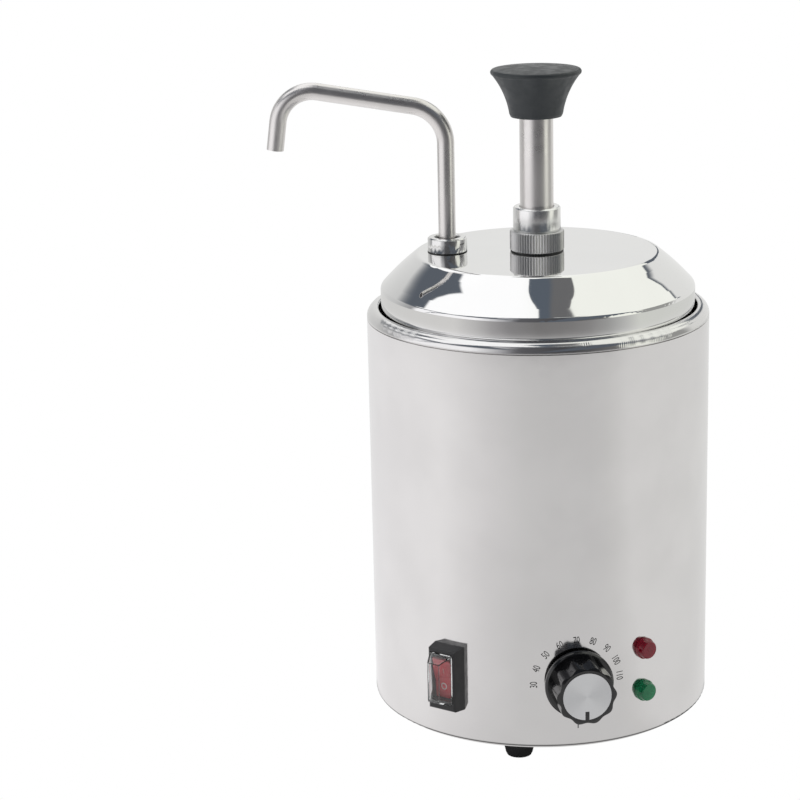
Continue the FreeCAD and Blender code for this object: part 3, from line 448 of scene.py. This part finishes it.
def on_wall(x, y, lift):
    """A point printed on the wall beside the dial. x runs round the wall, y up, from the dial's middle."""
    angle = math.radians(DIAL_DEG) + x / mm(BODY_R_MM)
    radius = mm(BODY_R_MM) + lift
    return Vector((radius * math.sin(angle), -radius * math.cos(angle), mm(DIAL_Z_MM) + y))


def number_mesh(text):
    """Flat digits round their own middle."""
    curve = bpy.data.curves.new("number", "FONT")
    curve.body = text
    curve.align_x = "CENTER"
    curve.align_y = "CENTER"
    curve.size = mm(DIGIT_HEIGHT_MM / DIGIT_SHARE_OF_SIZE)
    curve.resolution_u = 4
    return curve_as_mesh(curve)


def bar_outline(width_mm, length_mm):
    """The corners of an upright bar round its own middle."""
    x = mm(width_mm / 2)
    y = mm(length_mm / 2)
    return [(-x, -y), (x, -y), (x, y), (-x, y)]


def make_dial_scale():
    """The numbers, each with its foot towards the dial, and the off tick below it."""
    points = []
    faces = []
    for index, number in enumerate(SCALE_NUMBERS):
        angle = math.radians(SCALE_START_DEG + SCALE_STEP_DEG * index)
        digits = number_mesh(str(number))
        first = len(points)
        for vertex in digits.vertices:
            along = vertex.co.x * DIGIT_NARROWING
            out = mm(SCALE_R_MM) + vertex.co.y
            x = out * math.sin(angle) + along * math.cos(angle)
            y = out * math.cos(angle) - along * math.sin(angle)
            points.append(on_wall(x, y, mm(PRINT_LIFT_MM)))
        faces += [[first + corner for corner in face.vertices] for face in digits.polygons]
    first = len(points)
    for x, y in bar_outline(OFF_TICK_WIDTH_MM, OFF_TICK_LENGTH_MM):
        points.append(on_wall(x, y - mm(OFF_TICK_R_MM), mm(PRINT_LIFT_MM)))
    faces.append([first, first + 1, first + 2, first + 3])
    add_piece("dial_scale", mesh_from("dial_scale", points, faces), INK, "housing")


# ---- switch marks -------------------------------------------------------------------------------
ROCKER_MIDDLE_MM = (0.0, 0.9, 91.0)
ROCKER_TILT_DEG = 10.0
ROCKER_FACE_MM = 4.0
ROCKER_FACE_DEG = math.degrees(math.atan(1.2 / 11.0))
MARK_HEIGHT_MM = 4.6
OFF_MARK_X_MM = -0.9
ON_MARK_WIDTH_MM = 0.7
ON_MARK_LENGTH_MM = 3.0
RING_STEPS = 40
MARK_WHITE = plastic("mark_white", (0.85, 0.82, 0.80), 0.4, grain_depth=0.0)
MARK_PINK = plastic("mark_pink", (0.75, 0.25, 0.25), 0.4, grain_depth=0.0)


def on_rocker(x, y):
    """A frame on the rocker's face, x to the right and y up from its middle."""
    lean = math.copysign(ROCKER_FACE_DEG, y)
    height = ROCKER_FACE_MM + abs(y) * math.tan(math.radians(ROCKER_FACE_DEG)) + PRINT_LIFT_MM
    tilt = Matrix.Rotation(math.radians(ROCKER_TILT_DEG), 4, "X")
    face = Matrix.Rotation(math.radians(lean), 4, "X")
    middle = Matrix.Translation([mm(value) for value in ROCKER_MIDDLE_MM])
    return SWITCH_PLACE @ middle @ tilt @ Matrix.Translation((mm(x), mm(y), mm(height))) @ face


def ring_outline(radius_x, radius_y):
    """Points round an ellipse about its own middle."""
    turns = [2 * math.pi * step / RING_STEPS for step in range(RING_STEPS)]
    return [Vector((mm(radius_x) * math.cos(turn), mm(radius_y) * math.sin(turn), 0)) for turn in turns]


def make_switch_marks():
    """A ring on the lower half of the rocker and a bar on its upper half."""
    place = on_rocker(OFF_MARK_X_MM, -MARK_HEIGHT_MM)
    points = [place @ point for point in ring_outline(1.75, 1.9) + ring_outline(1.25, 1.4)]
    faces = []
    for here in range(RING_STEPS):
        after = (here + 1) % RING_STEPS
        faces.append((here, after, RING_STEPS + after, RING_STEPS + here))
    add_piece("off_mark", mesh_from("off_mark", points, faces), MARK_WHITE, "rocker")
    place = on_rocker(0.0, MARK_HEIGHT_MM)
    points = [place @ Vector((x, y, 0)) for x, y in bar_outline(ON_MARK_WIDTH_MM, ON_MARK_LENGTH_MM)]
    add_piece("on_mark", mesh_from("on_mark", points, [(0, 1, 2, 3)]), MARK_PINK, "rocker")


# ---- return spring ------------------------------------------------------------------------------
SPRING_LOW_MM = 128.85
SPRING_HIGH_MM = 231.75
SPRING_R_MM = 8.6
SPRING_WIRE_R_MM = 0.75
SPRING_TURNS = 12
SPRING_STEPS_PER_TURN = 32
CLOSED_TURNS = 1.25
CLOSED_PITCH_MM = 2 * SPRING_WIRE_R_MM * 1.04


def spring_height(turn):
    """Height in millimetres after so many turns: the end coils lie close, the others are open."""
    closed_rise = CLOSED_TURNS * CLOSED_PITCH_MM
    open_turns = SPRING_TURNS - 2 * CLOSED_TURNS
    open_rise = SPRING_HIGH_MM - SPRING_LOW_MM - 2 * closed_rise
    share = min(max((turn - CLOSED_TURNS) / open_turns, 0.0), 1.0)
    lower = min(turn, CLOSED_TURNS) / CLOSED_TURNS * closed_rise
    upper = max(turn - SPRING_TURNS + CLOSED_TURNS, 0.0) / CLOSED_TURNS * closed_rise
    return SPRING_LOW_MM + lower + upper + share * open_rise


def make_spring():
    """A coil whose end coils lie close together, built as one fixed shape."""
    curve = bpy.data.curves.new("spring", "CURVE")
    curve.dimensions = "3D"
    curve.bevel_depth = mm(SPRING_WIRE_R_MM)
    curve.bevel_resolution = 3
    curve.use_fill_caps = True
    spline = curve.splines.new("POLY")
    spline.points.add(SPRING_TURNS * SPRING_STEPS_PER_TURN)
    for step, point in enumerate(spline.points):
        turn = step / SPRING_STEPS_PER_TURN
        angle = 2 * math.pi * turn
        x = mm(SPRING_R_MM) * math.cos(angle)
        y = mm(SPRING_R_MM) * math.sin(angle)
        point.co = (x, y, mm(spring_height(turn)), 1.0)
    mesh = curve_as_mesh(curve)
    spring = add_piece("coil_spring", mesh, MATERIALS["turned_steel"], "lid_and_pump", 60.0)
    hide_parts("return_spring")
    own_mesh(spring)


# ---- edges of the moulded and turned pieces -----------------------------------------------------
SOFT_EDGES_MM = {
    "switch_frame": 0.30,
    "switch_rocker": 0.40,
    "switch_cover": 0.25,
    "plunger_gland": 0.15,
    "spout_collar": 0.15,
    "dial_knob": 0.20,
    "gland_cap_nut": 0.20,
    "terminal_block": 0.30,
    "thermostat_body": 0.40,
}
WELD_DISTANCE_MM = 0.01
SHARP_DEG = 35.0


def soften_edges():
    """A small round on the sharp edges, so that they catch the light."""
    for name, width in SOFT_EDGES_MM.items():
        node = frame["nodes"][name]
        weld = node.modifiers.new("weld", "WELD")
        weld.merge_threshold = mm(WELD_DISTANCE_MM)
        bevel = node.modifiers.new("soft_edges", "BEVEL")
        bevel.width = mm(width)
        bevel.segments = 2
        bevel.limit_method = "ANGLE"
        bevel.angle_limit = math.radians(SHARP_DEG)
        bevel.harden_normals = True


# ---- studio -------------------------------------------------------------------------------------
# Brightness round the object by direction, clockwise seen from above: from behind it (-180) past its
# left side, the front (0) and its right side to behind it again. First the paper that it stands on,
# then the paper's edge, then the room.
PAPER_RING = [
    (-180, (0.80, 0.80, 0.80)),
    (-120, (0.93, 0.92, 0.93)),
    (-64, (0.92, 0.91, 0.915)),
    (-52, (0.87, 0.86, 0.865)),
    (-30, (0.76, 0.75, 0.755)),
    (-9, (0.675, 0.67, 0.67)),
    (8, (0.65, 0.645, 0.645)),
    (33, (0.655, 0.65, 0.65)),
    (44, (0.68, 0.675, 0.67)),
    (58, (0.77, 0.765, 0.76)),
    (180, (0.78, 0.78, 0.77)),
]
EDGE_RING = [
    (-180, (0.70, 0.70, 0.69)),
    (-60, (0.70, 0.69, 0.68)),
    (-44, (0.53, 0.52, 0.52)),
    (-32, (0.37, 0.36, 0.365)),
    (-20, (0.26, 0.255, 0.26)),
    (0, (0.195, 0.19, 0.19)),
    (20, (0.205, 0.20, 0.20)),
    (35, (0.25, 0.245, 0.245)),
    (50, (0.35, 0.35, 0.345)),
    (64, (0.52, 0.52, 0.51)),
    (76, (0.67, 0.68, 0.64)),
    (180, (0.70, 0.70, 0.69)),
]
ROOM_RING = [
    (-180, (0.84, 0.84, 0.83)),
    (-125, (0.60, 0.60, 0.60)),
    (-104, (0.36, 0.36, 0.37)),
    (-98, (1.05, 1.04, 1.06)),
    (-45, (1.10, 1.09, 1.11)),
    (-24, (0.45, 0.45, 0.47)),
    (-14, (0.12, 0.12, 0.13)),
    (20, (0.07, 0.07, 0.075)),
    (54, (0.16, 0.16, 0.16)),
    (60, (1.00, 1.01, 0.93)),
    (80, (1.00, 1.01, 0.93)),
    (88, (0.34, 0.34, 0.33)),
    (112, (0.34, 0.34, 0.33)),
    (122, (0.80, 0.80, 0.78)),
    (180, (0.84, 0.84, 0.83)),
]


def ring_colour(nodes, x, y, ring):
    """The ring's colour in the direction x, y."""
    bearing = nodes.math("ARCTAN2", x, nodes.math("MULTIPLY", y, -1.0))
    turn = nodes.math("ADD", nodes.math("DIVIDE", bearing, 2 * math.pi), 0.5)
    ramp = nodes.add("ShaderNodeValToRGB")
    stops = ramp.color_ramp.elements
    while len(stops) < len(ring):
        stops.new(0.5)
    for stop, (degrees, colour) in zip(stops, ring):
        stop.position = (degrees + 180) / 360
        stop.color = (*colour, 1)
    nodes.link(turn, ramp.inputs["Fac"])
    return ramp.outputs["Color"]


def between(nodes, value, low, high, soft):
    """1 between low and high, falling to 0 over soft outside them."""
    return nodes.both(nodes.remap(value, low - soft, low), nodes.falling(value, high, high + soft))


def squares(nodes, x, y):
    return nodes.math("ADD", nodes.math("POWER", x, 2.0), nodes.math("POWER", y, 2.0))


def ellipse(nodes, x, y, middle, half_sizes, soft):
    """1 inside an ellipse, falling to 0 just outside it."""
    across = nodes.math("DIVIDE", nodes.math("SUBTRACT", x, middle[0]), half_sizes[0])
    along = nodes.math("DIVIDE", nodes.math("SUBTRACT", y, middle[1]), half_sizes[1])
    return nodes.falling(squares(nodes, across, along), 1.0, 1.0 + soft)


# Overhead, a direction is given by its slopes: across = x / z and along = y / z. The lights end at
# across = LIGHTS_LEFT and LIGHTS_RIGHT, but their lower corners go on outwards, cut off by two slants.
LIGHTS_LEFT = -0.62
LIGHTS_RIGHT = 1.0
LEFT_SLANT = 0.73
RIGHT_SLANT = 0.90
LIGHT_COOL = (1.16, 1.16, 1.17, 1)
LIGHT_WARM = (1.0, 1.01, 0.95, 1)
SURROUND_COLOUR = (0.11, 0.125, 0.15, 1)
SHAPE_LEFT_COLOUR = (0.105, 0.125, 0.155, 1)
SHAPE_RIGHT_COLOUR = (0.15, 0.15, 0.155, 1)


def past_right_slant(nodes, across, along):
    """How far a direction is past the slant that cuts off the lights' lower right corner."""
    return nodes.math("SUBTRACT", along, nodes.math("MULTIPLY", across, RIGHT_SLANT))


def ceiling_lights(nodes, across, along):
    """1 where the two bright lights are: a wide field whose lower corners reach further out."""
    past_left_slant = nodes.math("ADD", along, nodes.math("MULTIPLY", across, LEFT_SLANT))
    left_corner = nodes.falling(past_left_slant, -0.33, -0.29)
    left = nodes.either(nodes.remap(across, LIGHTS_LEFT - 0.04, LIGHTS_LEFT), left_corner)
    right_corner = nodes.falling(past_right_slant(nodes, across, along), 0.0, 0.03)
    right = nodes.either(nodes.falling(across, LIGHTS_RIGHT, LIGHTS_RIGHT + 0.03), right_corner)
    field = nodes.both(between(nodes, along, -0.45, 1.6, 0.05), between(nodes, across, -1.35, 2.2, 0.05))
    return nodes.both(nodes.both(left, right), field)


def ceiling_surround(nodes, across, along):
    """1 in the dark parts round the lights: wide on the left, narrow on the right and below."""
    left_side = nodes.falling(across, -0.60, -0.50)
    wide = nodes.both(left_side, nodes.falling(squares(nodes, across, along), 2.3, 6.0))
    right_corner = nodes.falling(past_right_slant(nodes, across, along), 0.03, 0.16)
    narrow = nodes.either(nodes.falling(across, LIGHTS_RIGHT + 0.03, LIGHTS_RIGHT + 0.16), right_corner)
    narrow = nodes.both(narrow, between(nodes, across, 0.60, 2.2, 0.10))
    below = between(nodes, along, -0.62, -0.43, 0.03)
    return nodes.either(nodes.either(wide, narrow), below)


def ceiling_shape(nodes, across, along):
    """1 in the dark round shape between the lights, on a short foot that spreads to one side."""
    head = ellipse(nodes, across, along, (0.115, -0.07), (0.18, 0.26), 0.08)
    foot = nodes.both(between(nodes, across, 0.02, 0.15, 0.02), between(nodes, along, -0.62, -0.20, 0.02))
    spread = ellipse(nodes, across, along, (0.27, -0.34), (0.20, 0.09), 0.30)
    return nodes.either(nodes.either(head, foot), spread)


def ceiling(nodes, x, y, z, room):
    """Two bright ceiling lights side by side in a dark surround, with a dark shape between them."""
    height = nodes.math("MAXIMUM", z, 0.001)
    across = nodes.math("DIVIDE", x, height)
    along = nodes.math("DIVIDE", y, height)
    overhead = nodes.remap(z, 0.02, 0.06)
    surround = nodes.both(ceiling_surround(nodes, across, along), overhead)
    colour = nodes.mix(surround, room, SURROUND_COLOUR)
    glow = nodes.mix(nodes.remap(across, -0.2, 0.3), LIGHT_COOL, LIGHT_WARM)
    colour = nodes.mix(nodes.both(ceiling_lights(nodes, across, along), overhead), colour, glow)
    shade = nodes.mix(nodes.remap(across, 0.08, 0.14), SHAPE_LEFT_COLOUR, SHAPE_RIGHT_COLOUR)
    return nodes.mix(nodes.both(ceiling_shape(nodes, across, along), overhead), colour, shade)


def white_to_camera(nodes, seen_shader, output):
    """The camera sees plain white; everything else sees the given shader."""
    white = nodes.add("ShaderNodeEmission")
    seen = nodes.add("ShaderNodeLightPath")
    blend = nodes.add("ShaderNodeMixShader")
    nodes.link(seen.outputs["Is Camera Ray"], blend.inputs["Fac"])
    nodes.link(seen_shader, blend.inputs[1])
    nodes.link(white.outputs["Emission"], blend.inputs[2])
    nodes.link(blend.outputs["Shader"], output.inputs["Surface"])


def make_world():
    """The room and its ceiling, which only the object sees."""
    world = bpy.data.worlds.new("studio")
    SCENE.world = world
    world.use_nodes = True
    nodes = Nodes(world.node_tree)
    coords = nodes.add("ShaderNodeTexCoord")
    split = nodes.add("ShaderNodeSeparateXYZ")
    nodes.link(coords.outputs["Generated"], split.inputs["Vector"])
    x, y, z = split.outputs
    background = nodes.add("ShaderNodeBackground")
    nodes.link(ceiling(nodes, x, y, z, ring_colour(nodes, x, y, ROOM_RING)), background.inputs["Color"])
    white_to_camera(nodes, background.outputs["Background"], nodes.add("ShaderNodeOutputWorld"))


# Distances from the body's axis between which one look of the floor fades into the next.
FLOOR_HALF = 3.0
PAPER_FADE = (0.960, 0.995)
EDGE_FADE = (1.12, 1.32)
SHADE_FADE = (0.089, 0.104)
SHADE_STRENGTH = 0.85
SHADE_COLOUR = (0.02, 0.02, 0.02, 1)


def make_floor():
    """White paper to the camera. To the metal it glows with painted brightness by direction and painted
    shade under the body, fading into the room a metre away.
    """
    h = FLOOR_HALF
    mesh = mesh_from("floor", [(-h, -h, 0), (h, -h, 0), (h, h, 0), (-h, h, 0)], [(0, 1, 2, 3)])
    floor = bpy.data.objects.new("floor", mesh)
    SCENE.collection.objects.link(floor)
    material = bpy.data.materials.new("floor")
    material.use_nodes = True
    mesh.materials.append(material)
    nodes = Nodes(material.node_tree)
    coords = nodes.add("ShaderNodeTexCoord")
    split = nodes.add("ShaderNodeSeparateXYZ")
    nodes.link(coords.outputs["Object"], split.inputs["Vector"])
    x, y = split.outputs[:2]
    length = nodes.add("ShaderNodeVectorMath", operation="LENGTH")
    nodes.link(coords.outputs["Object"], length.inputs[0])
    distance = length.outputs["Value"]
    paper = ring_colour(nodes, x, y, PAPER_RING)
    edge = ring_colour(nodes, x, y, EDGE_RING)
    room = ring_colour(nodes, x, y, ROOM_RING)
    colour = nodes.mix(nodes.remap(distance, *PAPER_FADE), paper, edge)
    colour = nodes.mix(nodes.remap(distance, *EDGE_FADE), colour, room)
    # Painted shade: the glowing floor takes no real shadow, so the body's shade on it is painted in here.
    shade = nodes.remap(distance, *SHADE_FADE, SHADE_STRENGTH, 0.0)
    colour = nodes.mix(shade, colour, SHADE_COLOUR)
    glow = nodes.add("ShaderNodeEmission")
    nodes.link(colour, glow.inputs["Color"])
    white_to_camera(nodes, glow.outputs["Emission"], nodes.add("ShaderNodeOutputMaterial"))


# ---- camera -------------------------------------------------------------------------------------
# Metres, and radians from a level view along +Y.
CAMERA_DISTANCE = 1.2258
CAMERA_HEIGHT = 0.5119
CAMERA_PITCH = 0.2706
CAMERA_YAW = -0.0601
CAMERA_ROLL = -0.0227
CAMERA_LENS = 107.15


def make_camera():
    """Looks at the object from in front of it and above."""
    forward = Vector((
        math.sin(CAMERA_YAW) * math.cos(CAMERA_PITCH),
        math.cos(CAMERA_YAW) * math.cos(CAMERA_PITCH),
        -math.sin(CAMERA_PITCH),
    ))
    right = forward.cross(Vector((0, 0, 1))).normalized()
    up = right.cross(forward)
    tilted_right = right * math.cos(CAMERA_ROLL) + up * math.sin(CAMERA_ROLL)
    tilted_up = up * math.cos(CAMERA_ROLL) - right * math.sin(CAMERA_ROLL)
    turned = Matrix((tilted_right, tilted_up, -forward)).transposed()
    camera = bpy.data.objects.new("camera", bpy.data.cameras.new("camera"))
    camera.matrix_world = Matrix.Translation((0, -CAMERA_DISTANCE, CAMERA_HEIGHT)) @ turned.to_4x4()
    camera.data.lens = CAMERA_LENS
    SCENE.collection.objects.link(camera)
    SCENE.camera = camera


# ---- the scene ----------------------------------------------------------------------------------
SCENE.view_settings.view_transform = "Standard"
make_camera()
make_world()
make_floor()
finish_cad_nodes()
soften_edges()
make_rim()
make_dial_scale()
make_switch_marks()
make_spring()
